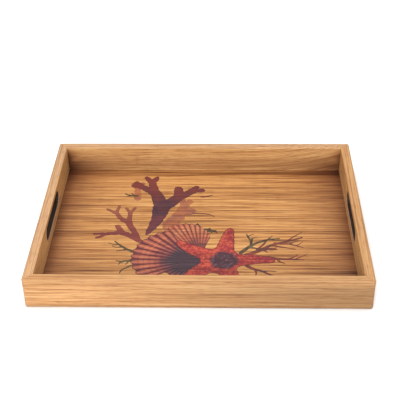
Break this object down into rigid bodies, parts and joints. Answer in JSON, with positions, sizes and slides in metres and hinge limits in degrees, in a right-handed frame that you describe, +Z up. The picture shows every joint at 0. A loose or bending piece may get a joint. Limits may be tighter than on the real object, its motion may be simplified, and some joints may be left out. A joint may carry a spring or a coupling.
{
  "type": "serving tray",
  "caption": "Rectangular wooden serving tray: mitred upright boards round a flat plywood floor with a printed face, and a round-ended hand slot through each end board.",
  "frame": {"origin": "centre of the underside", "axes": "+X along the tray's length, +Y from front to back, +Z up"},
  "size_m": [0.45, 0.33, 0.046],
  "materials": {
    "board_wood": "clear satin lacquer over fine straight grain",
    "printed_veneer": "clear satin lacquer over a printed marine motif",
    "plywood_core": "raw plywood",
    "backing_veneer": "thin matt lacquer",
    "key_wood": "raw hardwood",
    "brad_steel": "bright steel"
  },
  "bodies": {
    "root": {"front_board": "board_wood", "back_board": "board_wood", "left_board": "board_wood", "right_board": "board_wood", "floor_face_veneer": "printed_veneer", "floor_core": "plywood_core", "floor_back_veneer": "backing_veneer", "corner_key_front_left": "key_wood", "corner_key_front_right": "key_wood", "corner_key_back_right": "key_wood", "corner_key_back_left": "key_wood", "floor_brads": "brad_steel"}
  },
  "joints": []
}
